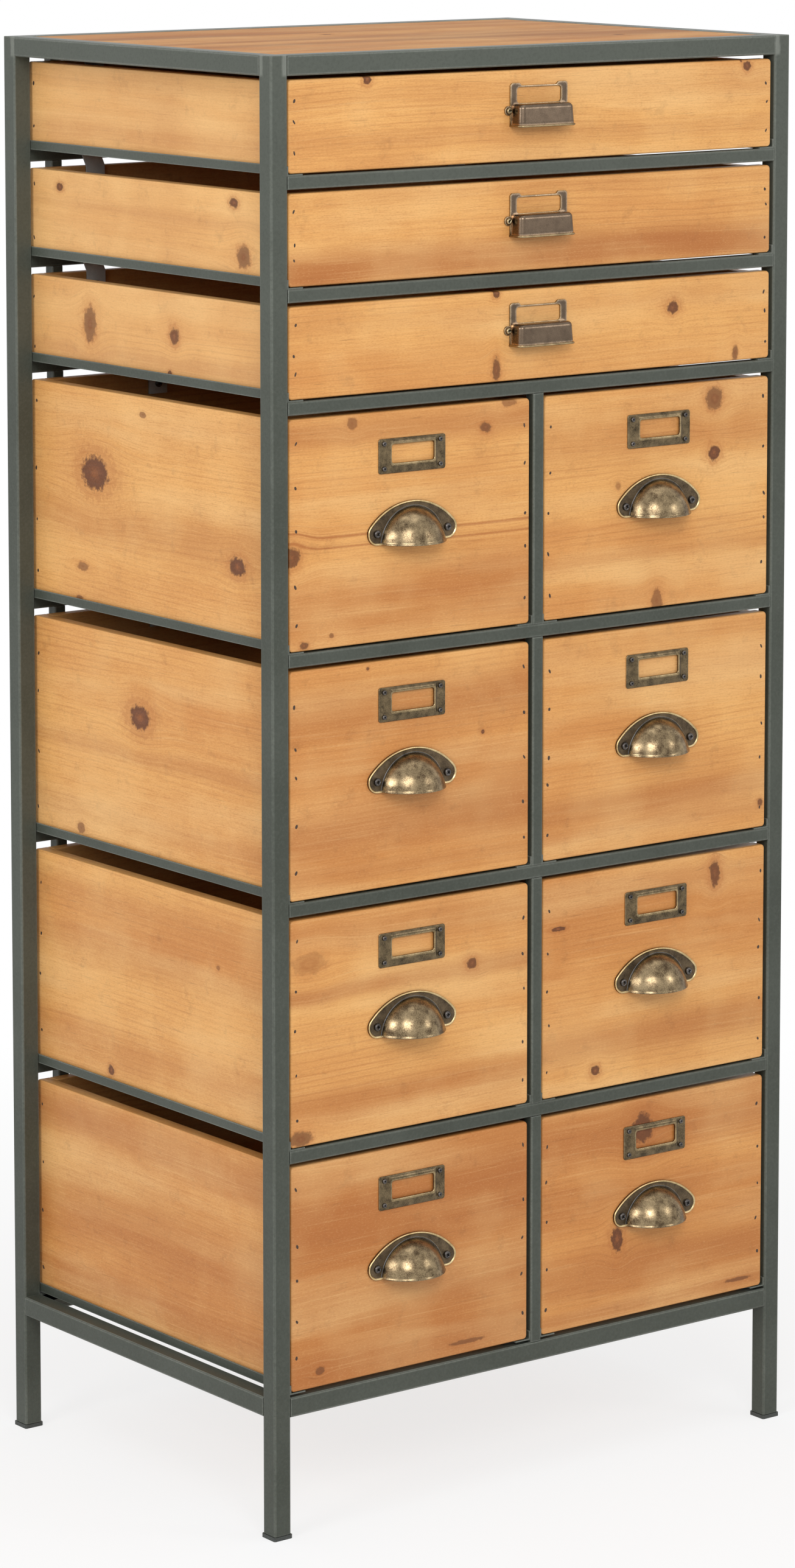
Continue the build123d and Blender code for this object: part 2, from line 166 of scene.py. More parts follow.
# Each metal's dark tarnish, its brighter speckle and its rubbed edges, in linear light. Painted light is
# noted at the tones that carry it.
metal_tones = {
    "antique_brass": ((0.070, 0.046, 0.026), (0.36, 0.270, 0.155), (0.66, 0.54, 0.36)),
    "antique_brass_dark": ((0.045, 0.033, 0.022), (0.18, 0.13, 0.078), (0.45, 0.34, 0.18)),
    "antique_brass_worn": ((0.38, 0.28, 0.13), (0.80, 0.62, 0.34), (0.9, 0.72, 0.42)),
    # Seam bead: its grey, slightly blue tone is a painted highlight where the dome meets the flange
    "seam_painted_highlight": ((0.05, 0.05, 0.055), (0.15, 0.15, 0.16), (0.22, 0.22, 0.23)),
    "antique_bronze": ((0.050, 0.038, 0.024), (0.23, 0.170, 0.095), (0.58, 0.44, 0.26)),
    "antique_bronze_worn": ((0.15, 0.11, 0.06), (0.44, 0.33, 0.18), (0.66, 0.50, 0.29)),
    # Hood bronze: its bright rubbed edges are partly a painted highlight on the hood's corners
    "hood_bronze": ((0.078, 0.056, 0.040), (0.20, 0.145, 0.100), (0.70, 0.50, 0.33)),
    "dark_steel": ((0.045, 0.042, 0.042), (0.16, 0.145, 0.135), (0.42, 0.38, 0.34)),
    # Recess: a near-black tone in the screw recesses, painted shade
    "recess": ((0.008, 0.008, 0.008), (0.030, 0.028, 0.028), (0.05, 0.05, 0.05)),
    "screw_brass": ((0.20, 0.16, 0.09), (0.55, 0.45, 0.27), (0.75, 0.62, 0.40)),
    # Tab steel: its pale tone is partly painted light, lifting the tab where it stands in the drawer's
    # shade
    "tab_steel_painted_lit": ((0.58, 0.60, 0.57), (0.72, 0.74, 0.71), (0.84, 0.85, 0.83)),
}

# The first drawer's grain and how far the next one's is from it
first_seed = 30.0
seed_step = 1.31

# Light: two distances in metres, how white the floor looks at each of them, and the world's level
floor_white = (0.35, 1.3, 0.76, 1.0)
world_level = 0.55

# Lamps: place, height of the point they face, size and power
lamps = {
    "key": ((-1.5, -2.7, 2.3), 0.75, 1.3, 42),
    "side": ((-2.9, -0.7, 1.9), 0.7, 1.0, 26),
    "right": ((1.9, -2.6, 1.8), 0.7, 0.8, 9),
    "above": ((0.3, -0.4, 3.4), 0.9, 1.6, 7),
}


class Graph:
    """The node tree of a new material or world, with nodes that are added and joined in one call."""

    def __init__(self, name, kind="materials"):
        self.owner = getattr(bpy.data, kind).new(name)
        self.owner.use_nodes = True
        self.tree = self.owner.node_tree
        self.tree.nodes.clear()

    def place(self):
        """Where a point lies in the frame of its piece."""
        return self.add("ShaderNodeTexCoord").outputs["Object"]

    def add(self, kind, values=None, **settings):
        """A node with its settings, and its inputs set to values or joined to sockets."""
        node = self.tree.nodes.new(kind)
        for key, value in settings.items():
            setattr(node, key, value)
        for key, value in (values or {}).items():
            socket = node.inputs[key]
            if isinstance(value, bpy.types.NodeSocket):
                self.tree.links.new(value, socket)
            else:
                socket.default_value = value
        return node

    def math(self, operation, first, second=None, clamp=False):
        """One sum on numbers."""
        values = {0: first}
        if second is not None:
            values[1] = second
        return self.add("ShaderNodeMath", values, operation=operation, use_clamp=clamp).outputs[0]

    def times(self, first, second):
        """One number times another."""
        return self.math("MULTIPLY", first, second)

    def vector(self, operation, first, second):
        """One sum on vectors."""
        return self.add("ShaderNodeVectorMath", {0: first, 1: second}, operation=operation)

    def mix(self, factor, first, second, blend="MIX"):
        """A blend of two colours."""
        node = self.add("ShaderNodeMix", data_type="RGBA", blend_type=blend)
        for key, value in ((0, factor), (6, first), (7, second)):
            if isinstance(value, bpy.types.NodeSocket):
                self.tree.links.new(value, node.inputs[key])
            elif key == 0:
                node.inputs[key].default_value = value
            else:
                node.inputs[key].default_value = (*value, 1.0)
        return node.outputs[2]

    def noise(self, vector, scale, detail=2.0, roughness=0.5, distortion=0.0):
        """Noise from about 0 to 1."""
        values = {"Vector": vector, "Scale": scale, "Detail": detail, "Roughness": roughness,
                  "Distortion": distortion}
        return self.add("ShaderNodeTexNoise", values).outputs["Fac"]

    def stretched_noise(self, vector, factors, detail=2.0, roughness=0.5, distortion=0.0):
        """Noise with its own scale along each axis."""
        stretched = self.vector("MULTIPLY", vector, factors).outputs[0]
        return self.noise(stretched, 1.0, detail, roughness, distortion)

    def ramp(self, factor, low, high, bottom=0.0, top=1.0):
        """A straight rise between two levels, held outside them."""
        values = {"Value": factor, "From Min": low, "From Max": high, "To Min": bottom, "To Max": top}
        return self.add("ShaderNodeMapRange", values, clamp=True).outputs[0]

    def edges(self, radius, low, high):
        """How much a point lies on a convex or concave edge, from 0 to 1."""
        bevel = self.add("ShaderNodeBevel", {"Radius": radius}, samples=4)
        flat = self.add("ShaderNodeNewGeometry").outputs["Normal"]
        turned = self.vector("DOT_PRODUCT", bevel.outputs[0], flat).outputs["Value"]
        return self.ramp(turned, high, low)

    def finish(self, colour, roughness, bump=None, more=None):
        """End the material in one surface shader. A bump is (height, strength, depth in metres)."""
        values = {"Base Color": colour, "Roughness": roughness, **(more or {})}
        if bump:
            bump = dict(zip(("Height", "Strength", "Distance"), bump))
            values["Normal"] = self.add("ShaderNodeBump", bump).outputs[0]
        bsdf = self.add("ShaderNodeBsdfPrincipled", values)
        self.add("ShaderNodeOutputMaterial", {"Surface": bsdf.outputs[0]})
        return self.owner


def knot_fields(g, place, up, knots, grain):
    """How much of a knot a point has, how near the closest one is, and how far they push the grain."""
    rough = g.ramp(g.noise(place, 230.0, 4.0, 0.66), 0.25, 0.75, 0.70, 1.34)
    nearest = None
    bulge = None
    dark = None
    for knot_along, knot_up, radius, stretch, strength in knots:
        centre = {"front": (knot_along, 0, knot_up), "side": (0, knot_along, knot_up),
                  "top": (knot_along, knot_up, 0)}[grain]
        wide = 1 / (radius * stretch * mm)
        tall = 1 / (radius * mm)
        scale = {"front": (wide, 0, tall), "side": (0, wide, tall), "top": (wide, tall, 0)}[grain]
        centre = tuple(c * mm for c in centre)
        offset = g.vector("MULTIPLY", g.vector("SUBTRACT", place, centre).outputs[0], scale).outputs[0]
        distance = g.vector("LENGTH", offset, (0, 0, 0)).outputs["Value"]
        near = g.ramp(distance, 4.5, 0.6)
        near = g.times(near, near)
        push = g.times(near, g.math("SUBTRACT", knot_up * mm, up))
        distance = g.times(distance, rough)
        mask = g.ramp(distance, 1.10, 0.82, 0.0, min(1.0, 1.2 * strength))
        distance = g.math("ADD", distance, 1.6 * (1 - strength))
        nearest = distance if nearest is None else g.math("MINIMUM", nearest, distance)
        bulge = push if bulge is None else g.math("ADD", bulge, push)
        dark = mask if dark is None else g.math("MAXIMUM", dark, mask)
    return dark, nearest, g.times(bulge, 0.8)


def pine(name, seed, grain="front", knots=(), bands=(), tone_and_shade=0.0, strips=0.0, flecks=0.0, gloss=0.4,
         wash=0.0):
    """Honey-stained pine. Knots are (place along the grain, height, radius, stretch along the grain,
    strength) and bands of reddish heartwood are (height, half width, strength). Places, heights,
    radii and widths are in millimetres."""
    g = Graph(name)
    place = g.place()
    parts = g.add("ShaderNodeSeparateXYZ", {0: place})
    order = {"front": ("X", "Y", "Z"), "side": ("Y", "X", "Z"), "top": ("X", "Z", "Y")}[grain]
    along, deep, up = (parts.outputs[axis] for axis in order)
    wobble = g.noise(place, 26.0, 2.0, 0.5)
    nearest = None
    flow = up
    if knots:
        dark, nearest, bulge = knot_fields(g, place, up, knots, grain)
        flow = g.math("ADD", up, bulge)
    seeded = g.add("ShaderNodeCombineXYZ", {0: along, 1: deep, 2: flow}).outputs[0]
    seeded = g.vector("ADD", seeded, (seed * 1.7, seed * 0.9, seed * 2.3)).outputs[0]
    drift = g.stretched_noise(seeded, (2.2, 6.0, 6.0), 2.0, 0.5)
    flow = g.math("ADD", flow, g.times(g.math("SUBTRACT", drift, 0.5), 0.017))
    seeded = g.add("ShaderNodeCombineXYZ", {0: along, 1: deep, 2: flow}).outputs[0]
    seeded = g.vector("ADD", seeded, (seed * 1.7, seed * 0.9, seed * 2.3)).outputs[0]
    broad = g.stretched_noise(seeded, (1.6, 6.0, 15.0), 3.0, 0.55, 0.2)
    patch = g.stretched_noise(seeded, (4.0, 9.0, 30.0), 2.0, 0.5, 0.3)
    streak = g.stretched_noise(seeded, (8.0, 200.0, 560.0), 3.0, 0.60)
    fibre = g.stretched_noise(seeded, (55.0, 1300.0, 2200.0), 2.0, 0.65)
    pores = g.stretched_noise(seeded, (42.0, 700.0, 1100.0), 1.0, 0.5)
    # Lean to darker wood: the board's own tone, and on the lower drawers partly painted shade
    colour = g.mix(g.ramp(broad, 0.36 - tone_and_shade, 0.64 - tone_and_shade), wood_light, wood_mid)
    colour = g.mix(g.ramp(broad, 0.60 - tone_and_shade, 0.84 - tone_and_shade, 0.0, 0.55), colour, wood_red)
    colour = g.mix(g.ramp(patch, 0.52, 0.30, 0.0, 0.40), colour, wood_pale)
    for height, half_width, strength in bands:
        away = g.math("ABSOLUTE", g.math("SUBTRACT", flow, height * mm))
        share = g.ramp(away, half_width * mm, 0.25 * half_width * mm, 0.0, strength)
        share = g.times(share, g.ramp(patch, 0.30, 0.62, 0.62, 1.0))
        colour = g.mix(share, colour, wood_red)
    phase = g.math("ADD", g.times(flow, 1250.0), g.times(broad, 34.0))
    line = g.math("POWER", g.ramp(g.math("SINE", phase), -1.0, 1.0), 7.0)
    line = g.times(line, g.ramp(patch, 0.46, 0.70, 0.02, 0.34))
    colour = g.mix(line, colour, wood_red)
    colour = g.mix(g.ramp(streak, 0.54, 0.80, 0.0, 0.26), colour, wood_red)
    colour = g.mix(g.ramp(streak, 0.44, 0.26, 0.0, 0.22), colour, wood_pale)
    colour = g.mix(g.ramp(fibre, 0.50, 0.72, 0.0, 0.34), colour, wood_red)
    grit = g.stretched_noise(place, {"front": (420.0, 900.0, 1250.0), "side": (900.0, 420.0, 1250.0),
                                     "top": (420.0, 1250.0, 900.0)}[grain], 2.0, 0.7)
    colour = g.mix(g.ramp(grit, 0.52, 0.70, 0.0, 0.28), colour, wood_red)
    colour = g.mix(g.ramp(grit, 0.46, 0.28, 0.0, 0.20), colour, wood_pale)
    colour = g.mix(g.ramp(pores, 0.68, 0.80, 0.0, 0.26), colour, wood_dark)
    if flecks:
        nicks = g.stretched_noise(place, (38.0, 62.0, 900.0), 1.0, 0.5)
        colour = g.mix(g.ramp(nicks, 0.66, 0.76, 0.0, flecks), colour, wood_pale)
    if wash:
        colour = g.mix(wash, colour, wood_pale)
    smudge = g.noise(place, 48.0, 5.0, 0.74)
    colour = g.mix(g.ramp(smudge, 0.57, 0.76, 0.0, 0.24), colour, wood_dark)
    veil = g.noise(place, 15.0, 3.0, 0.5)
    colour = g.mix(g.ramp(veil, 0.46, 0.84, 0.0, 0.26), colour, wood_red)
    colour = g.mix(g.ramp(veil, 0.52, 0.18, 0.0, 0.26), colour, wood_pale)
    if strips:
        lane = g.math("DIVIDE", up, strips * mm)
        index = g.math("FLOOR", lane)
        shade = g.add("ShaderNodeTexWhiteNoise", {"W": index}, noise_dimensions="1D").outputs["Value"]
        colour = g.mix(g.times(shade, 0.34), colour, wood_red)
        colour = g.mix(g.ramp(broad, 0.50, 0.75, 0.10, 0.50), colour, wood_dark)
        across = g.math("ABSOLUTE", g.math("SUBTRACT", g.math("FRACT", lane), 0.5))
        colour = g.mix(g.ramp(across, 0.488, 0.499, 0.0, 0.5), colour, wood_dark)
    if knots:
        ring = g.math("ADD", g.times(nearest, 7.5), g.times(wobble, 3.0))
        ring = g.ramp(g.math("SINE", ring), 0.0, 1.0, 0.0, 0.50)
        around = g.ramp(nearest, 3.4, 1.0)
        colour = g.mix(g.times(ring, g.times(around, around)), colour, wood_red)
        colour = g.mix(g.ramp(nearest, 2.6, 0.9, 0.0, 0.48), colour, wood_red)
        core = g.mix(g.ramp(g.noise(place, 700.0, 3.0, 0.65), 0.38, 0.62), wood_dark, knot_colour)
        core = g.mix(g.ramp(nearest, 0.55, 0.98, 0.0, 0.75), core, wood_dark)
        core = g.mix(g.ramp(nearest, 0.60, 0.15, 0.0, 0.45), core, wood_red)
        colour = g.mix(g.times(dark, 0.96), colour, core)
    colour = g.mix(g.times(g.edges(0.0014, 0.80, 0.995), 0.42), colour, wood_pale)
    rough = g.ramp(fibre, 0.3, 0.8, 0.38, 0.58)
    height = g.math("SUBTRACT", g.times(streak, -0.4), g.times(fibre, 0.6))
    return g.finish(colour, rough, (height, 0.30, 0.00015), {"IOR": 1.42, "Specular IOR Level": gloss})


def weld_places(g, place, parts, soft):
    """Where the top rails' welds to the posts were ground flat, from 0 to 1."""
    low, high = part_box("corner_posts")
    inset = weld_inset_mm * mm
    near = [("X", low.x + inset), ("X", high.x - inset), ("Y", low.y + inset), ("Y", high.y - inset)]
    rag = g.noise(place, 90.0, 3.0, 0.6)
    total = None
    for axis, line in near:
        away = g.math("ABSOLUTE", g.math("SUBTRACT", parts.outputs[axis], line))
        away = g.math("ADD", away, g.times(g.math("SUBTRACT", rag, 0.5), 0.004))
        strip = g.ramp(away, weld_half_width_mm * mm, 0.4 * weld_half_width_mm * mm)
        total = strip if total is None else g.math("MAXIMUM", total, strip)
    level = g.ramp(parts.outputs["Z"], high.z - (tube_mm + 1.0) * mm, high.z - (tube_mm - 1.0) * mm)
    return g.times(g.times(total, level), g.ramp(soft, 0.3, 0.6, 0.4, 1.0))


def painted_steel(name):
    """Satin grey-green paint on steel, faintly scratched and lighter along its edges, partly from wear
    and partly as a painted highlight. Painted light also makes it paler towards the top of the frame.
    """
    g = Graph(name)
    place = g.place()
    parts = g.add("ShaderNodeSeparateXYZ", {0: place})
    soft = g.noise(place, 9.0, 4.0, 0.6)
    fine = g.noise(place, 1400.0, 2.0, 0.6)
    scuff = g.stretched_noise(place, (420.0, 420.0, 60.0), 3.0, 0.6)
    colour = g.mix(g.ramp(soft, 0.35, 0.68, 0.0, 0.5), paint_colour, paint_pale_and_lit_top)
    # Painted light: paler towards the top of the frame, as if lit more from above
    colour = g.mix(g.ramp(parts.outputs["Z"], 0.80, 1.10, 0.0, 0.6), colour, paint_pale_and_lit_top)
    mottle = g.noise(place, 520.0, 5.0, 0.74)
    colour = g.mix(g.ramp(mottle, 0.50, 0.66, 0.0, 0.34), colour, paint_pale_and_lit_top)
    colour = g.mix(g.ramp(mottle, 0.50, 0.34, 0.0, 0.26), colour, tuple(0.6 * c for c in paint_colour))
    ground = weld_places(g, place, parts, soft)
    colour = g.mix(g.times(ground, 0.62), colour, paint_worn_and_edge_sheen)
    # Lighter edges: partly worn paint and partly a painted highlight along the rounded edges
    edge = g.times(g.edges(0.0014, 0.94, 0.998), g.ramp(soft, 0.30, 0.60, 0.45, 1.0))
    edge = g.times(edge, g.ramp(mottle, 0.34, 0.60, 0.55, 1.0))
    colour = g.mix(g.times(edge, 0.78), colour, paint_worn_and_edge_sheen)
    colour = g.mix(g.ramp(scuff, 0.72, 0.82, 0.0, 0.22), colour, paint_worn_and_edge_sheen)
    rough = g.ramp(fine, 0.2, 0.8, 0.36, 0.56)
    height = g.math("ADD", fine, g.times(ground, 5.0))
    return g.finish(colour, rough, (height, 0.16, 0.0001), {"IOR": 1.5, "Specular IOR Level": 0.32})


def aged_metal(name, roughness, wear_and_sheen=0.8, low=0.36, high=0.66, metallic=1.0, edge_radius=0.0007):
    """Antiqued metal: fine speckle and soft patches of tarnish, rubbed bright along its edges. Where the
    bright edges are made wide and strong, as on the hood pull, they are also a painted highlight.
    """
    dark, bright, polish_and_sheen = metal_tones[name]
    g = Graph(name)
    place = g.place()
    speckle = g.noise(place, 1500.0, 3.0, 0.62)
    patches = g.noise(place, 150.0, 4.0, 0.62)
    mottle = g.math("ADD", g.times(speckle, 0.45), g.times(patches, 0.55))
    colour = g.mix(g.ramp(mottle, low, high), dark, bright)
    edge = g.times(g.edges(edge_radius, 0.82, 0.99), g.ramp(patches, 0.30, 0.52, 0.4, 1.0))
    # Bright edges: rubbed metal, and on the hood pull also a painted highlight
    colour = g.mix(g.times(edge, wear_and_sheen), colour, polish_and_sheen)
    rough = g.ramp(mottle, 0.3, 0.7, roughness + 0.10, roughness)
    return g.finish(colour, rough, (mottle, 0.14, 0.0001), {"Metallic": metallic})


def black_plastic(name):
    """Matt black plastic with a fine moulded grain."""
    g = Graph(name)
    place = g.place()
    grain = g.noise(place, 1500.0, 2.0, 0.5)
    colour = g.mix(g.ramp(grain, 0.3, 0.7), (0.030, 0.034, 0.030), (0.055, 0.060, 0.055))
    return g.finish(colour, 0.55, (grain, 0.2, 0.0001))


def nail_filler(name):
    """Dark rusty nail heads."""
    g = Graph(name)
    place = g.place()
    grain = g.noise(place, 2500.0, 2.0, 0.6)
    colour = g.mix(g.ramp(grain, 0.35, 0.65), (0.020, 0.013, 0.010), (0.085, 0.045, 0.026))
    return g.finish(colour, 0.7)


def dress(node, material):
    """Give a CAD node a material on all of its slots."""
    mesh = nodes[node].data
    if not mesh.materials:
        mesh.materials.append(material)
    for index in range(len(mesh.materials)):
        mesh.materials[index] = material


def soften(node, radius, segments=2):
    """Round a CAD node's edges with modifiers, which leave its own mesh as it is."""
    piece = nodes[node]
    if "custom_normal" in piece.data.attributes:
        piece.data.attributes.remove(piece.data.attributes["custom_normal"])
    weld = piece.modifiers.new("weld", "WELD")
    weld.merge_threshold = 0.00001
    bevel = piece.modifiers.new("bevel", "BEVEL")
    bevel.width = radius
    bevel.segments = segments
    bevel.limit_method = "ANGLE"
    bevel.angle_limit = math.radians(28)
    bevel.harden_normals = True
    bevel.use_clamp_overlap = True
    piece.data.shade_smooth()


def arc(centre, radius, start, end, steps):
    """Points of an arc between two angles in degrees."""
    points = []
    for step in range(steps + 1):
        angle = math.radians(start + (end - start) * step / steps)
        points.append((centre[0] + radius * math.cos(angle), centre[1] + radius * math.sin(angle)))
    return points


def rounded_rectangle(half_width, half_height, corner, lift=0.0, steps=5):
    """Points of a rounded rectangle, anticlockwise from its lower right corner."""
    points = []
    for quarter, (side, rise) in enumerate(((1, -1), (1, 1), (-1, 1), (-1, -1))):
        centre = (side * (half_width - corner), lift + rise * (half_height - corner))
        points += arc(centre, corner, -90 + 90 * quarter, 90 * quarter, steps)
    return points


def grown(points, distance):
    """A closed anticlockwise outline moved outwards, or inwards by a negative distance."""
    moved = []
    count = len(points)
    for index, (x, z) in enumerate(points):
        before = Vector(points[index - 1])
        after = Vector(points[(index + 1) % count])
        here = Vector((x, z))
        first = (here - before).normalized()
        second = (after - here).normalized()
        middle = first + second
        if middle.length < 1e-6:
            middle = first
        middle.normalize()
        reach = distance / max(0.4, middle.dot(first))
        moved.append((x + middle.y * reach, z - middle.x * reach))
    return moved


class Shape:
    """A mesh in millimetres that is built from rings of points against the plane Y = 0."""

    def __init__(self):
        self.bm = bmesh.new()

    def ring(self, points, forward=None):
        """Vertices from (x, y, z) points, or from (x, z) points and a distance towards -Y."""
        if forward is not None:
            points = [(x, -forward, z) for x, z in points]
        return [self.bm.verts.new(point) for point in points]

    def skin(self, rings, closed=True, material=0):
        """Faces between each ring and the next."""
        for near, far in zip(rings, rings[1:]):
            count = len(near)
            for index in range(count if closed else count - 1):
                after = (index + 1) % count
                face = self.bm.faces.new((near[index], near[after], far[after], far[index]))
                face.material_index = material

    def cap(self, ring, material=0):
        """One flat face on a ring."""
        self.bm.faces.new(ring).material_index = material

    def fill(self, rings, material=0):
        """A flat face between one outer ring and the holes in it."""
        edges = []
        for ring in rings:
            for index, vertex in enumerate(ring):
                after = ring[(index + 1) % len(ring)]
                edges.append(self.bm.edges.get((vertex, after)) or self.bm.edges.new((vertex, after)))
        made = bmesh.ops.triangle_fill(self.bm, edges=edges, use_beauty=True)
        for item in made["geom"]:
            if isinstance(item, bmesh.types.BMFace):
                item.material_index = material

    def tube(self, points, radius, sides=8, material=0):
        """A round bead along a line of points, closed at both ends."""
        rings = []
        places = [Vector(point) for point in points]
        for index, here in enumerate(places):
            before = places[max(index - 1, 0)]
            after = places[min(index + 1, len(places) - 1)]
            turn = (after - before).to_track_quat("Z", "Y").to_matrix()
            circle = [Vector((radius * math.cos(2 * math.pi * k / sides),
                              radius * math.sin(2 * math.pi * k / sides), 0)) for k in range(sides)]
            rings.append(self.ring([here + turn @ point for point in circle]))
        self.skin(rings, True, material)
        self.cap(rings[0], material)
        self.cap(rings[-1], material)

    def move(self, shift, start=0):
        """Move the vertices that were added after a count."""
        self.bm.verts.ensure_lookup_table()
        for vertex in self.bm.verts[start:]:
            vertex.co += Vector(shift)

    def mesh(self, name, place):
        """Finish the mesh, in metres, with its own origin put at a place."""
        bmesh.ops.remove_doubles(self.bm, verts=self.bm.verts, dist=0.0005)
        bmesh.ops.recalc_face_normals(self.bm, faces=self.bm.faces)
        self.bm.transform(Matrix.Translation(place) @ Matrix.Scale(mm, 4))
        mesh = bpy.data.meshes.new(name)
        self.bm.to_mesh(mesh)
        self.bm.free()
        mesh.shade_smooth()
        return mesh


def link(name, mesh, body, materials, node=None):
    """Put a new mesh in the scene as a piece of one body, which may stand for a CAD node."""
    for material in materials:
        mesh.materials.append(material)
    piece = bpy.data.objects.new(name, mesh)
    bpy.context.scene.collection.objects.link(piece)
    normals = piece.modifiers.new("normals", "WEIGHTED_NORMAL")
    normals.keep_sharp = True
    normals.weight = 60
    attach(piece, body)
    if node:
        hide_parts(node)
    return piece


def sharp_edges(bm, degrees):
    """The edges between two faces that turn by more than an angle."""
    turn = math.radians(degrees)
    return [e for e in bm.edges if len(e.link_faces) == 2 and e.calc_face_angle() > turn]


def board_mesh(name, low, high, edge, corner=0.0):
    """A board between two corners, with rounded corners in front view and softened edges.
    Without rounded corners only its upper edges are softened as much, the others slightly."""
    bm = bmesh.new()
    bmesh.ops.create_cube(bm, size=1.0)
    size = [b - a for a, b in zip(low, high)]
    centre = [(a + b) / 2 for a, b in zip(low, high)]
    bm.transform(Matrix.Translation(centre) @ Matrix.Diagonal((*size, 1.0)))
    if corner > 0:
        deep_edges = [e for e in bm.edges if abs((e.verts[0].co - e.verts[1].co).y) > 1e-6]
        bmesh.ops.bevel(bm, geom=deep_edges, offset=corner, segments=5, affect="EDGES", profile=0.5)
    sharp = sharp_edges(bm, 40)
    if corner == 0:
        upper = [e for e in sharp if min(v.co.z for v in e.verts) > high[2] - 1e-6]
        bmesh.ops.bevel(bm, geom=upper, offset=edge, segments=3, affect="EDGES", profile=0.5)
        sharp = sharp_edges(bm, 40)
        edge = min(edge, hidden_edge_mm * mm)
    bmesh.ops.bevel(bm, geom=sharp, offset=edge, segments=3, affect="EDGES", profile=0.5)
    mesh = bpy.data.meshes.new(name)
    bm.to_mesh(mesh)
    bm.free()
    mesh.shade_smooth()
    return mesh


def cup_outline():
    """The flange of a cup pull: two round ears under one wide arc."""
    rise = cup_crown_mm
    radius = (cup_half_span_mm ** 2 + rise ** 2 - cup_ear_mm ** 2) / (2 * (rise - cup_ear_mm))
    centre = rise - radius
    turn = math.degrees(math.atan2(-centre, cup_half_span_mm))
    points = arc((cup_half_span_mm, 0), cup_ear_mm, -90, turn, 12)
    points += arc((0, centre), radius, turn, 180 - turn, 40)[1:]
    points += arc((-cup_half_span_mm, 0), cup_ear_mm, 180 - turn, 270, 12)[1:]
    return points


def cup_pull(name, body, node, place):
    """A stamped cup pull with a rolled rim round its flange and a thin half-round dome."""
    shape = Shape()
    outline = cup_outline()
    rim = ((0.0, 0.0), (0.0, 1.35), (0.22, 1.85), (0.65, 2.10), (1.10, 1.95), (1.50, 1.50), (2.10, 1.20))
    rings = [shape.ring(grown(outline, -inset), forward) for inset, forward in rim]
    shape.skin(rings[:2], material=1)
    shape.skin(rings[1:6], material=2)
    shape.skin(rings[5:], material=1)
    shape.cap(rings[-1], material=1)
    shape.cap(rings[0], material=1)
    start = len(shape.bm.verts)
    ball = (dome_radius_mm ** 2 + dome_depth_mm ** 2) / (2 * dome_depth_mm)
    behind = ball - dome_depth_mm
    lowest = math.asin(dome_drop_mm / dome_radius_mm)
    steps = 18
    angles = [math.pi / 2 - (math.pi / 2 - lowest) * step / steps for step in range(steps + 1)]
    rows = [(0.0, dome_radius_mm * math.sin(angle)) for angle in angles[:-1]]
    rows += [(0.0, 3.6), (0.30, 3.1), (0.50, 2.6), (0.40, 2.15), (0.0, 2.0), (-0.8, 2.0), (-1.2, 2.4)]
    inner = math.sqrt((ball - cup_sheet_mm) ** 2 - behind ** 2)
    rows += [(-cup_sheet_mm, inner * math.sin(angle)) for angle in reversed(angles[:-2])]
    bands = []
    turns = 44
    for grow, height in rows:
        reach = math.sqrt((ball + grow) ** 2 - height ** 2)
        swing = math.acos(min(1.0, behind / reach))
        points = []
        for step in range(turns + 1):
            angle = swing * (1 - 2 * step / turns)
            points.append((reach * math.sin(angle), behind - reach * math.cos(angle), height))
        bands.append(shape.ring(points))
    shape.skin(bands, closed=False)
    shape.bm.verts.ensure_lookup_table()
    shape.cap([band[0] for band in bands])
    shape.cap([band[-1] for band in bands])
    # The bead where the dome meets the flange; its blue-grey tone is a painted highlight along the seam
    bead = [(x, -cup_sheet_mm, z) for x, z in arc((0, 0), dome_radius_mm + 0.2, 5, 175, 40)]
    shape.tube(bead, 0.38, 8, material=3)
    shape.move((0, 0, -cup_ear_mm - dome_drop_mm), start)
    mesh = shape.mesh(name, place)
    return link(name, mesh, body, [brass, brass_dark, brass_worn, seam_painted_highlight], node)


def label_holder(name, body, node, place):
    """One pressed sheet: flat ends with screws and a raised frame round the window."""
    shape = Shape()
    half_x, half_z = holder_half_mm
    open_x, open_z = window_half_mm
    lift = window_lift_mm
    plate = ((half_x - 0.1, half_z - 0.1, 2.0, 0.0, 0.0), (half_x, half_z, 2.0, 0.0, 0.3),
             (half_x, half_z, 2.0, 0.0, 0.7), (half_x - 0.3, half_z - 0.3, 1.8, 0.0, 1.0),
             (23.4, half_z - 0.5, 1.2, 0.0, 1.02), (22.8, half_z - 0.7, 1.2, 0.05, 1.2),
             (21.9, 11.0, 1.6, 0.5, 1.9), (21.3, 9.6, 1.8, 0.9, 2.25), (20.9, 8.5, 2.0, 1.3, 2.40),
             (20.4, 7.7, 2.2, 1.5, 2.40), (20.0, 7.25, 2.2, 1.6, 2.25), (open_x, open_z, 2.0, lift, 1.9),
             (open_x, open_z, 2.0, lift, 1.0), (open_x + 0.5, open_z + 0.5, 2.0, lift, 0.9))
    rings = [shape.ring(rounded_rectangle(x, z, corner, up), forward)
             for x, z, corner, up, forward in plate]
    shape.skin(rings[:9])
    shape.skin(rings[8:12], material=1)
    shape.skin(rings[11:] + [rings[0]])
    mesh = shape.mesh(name, place)
    return link(name, mesh, body, [bronze, bronze_worn], node)


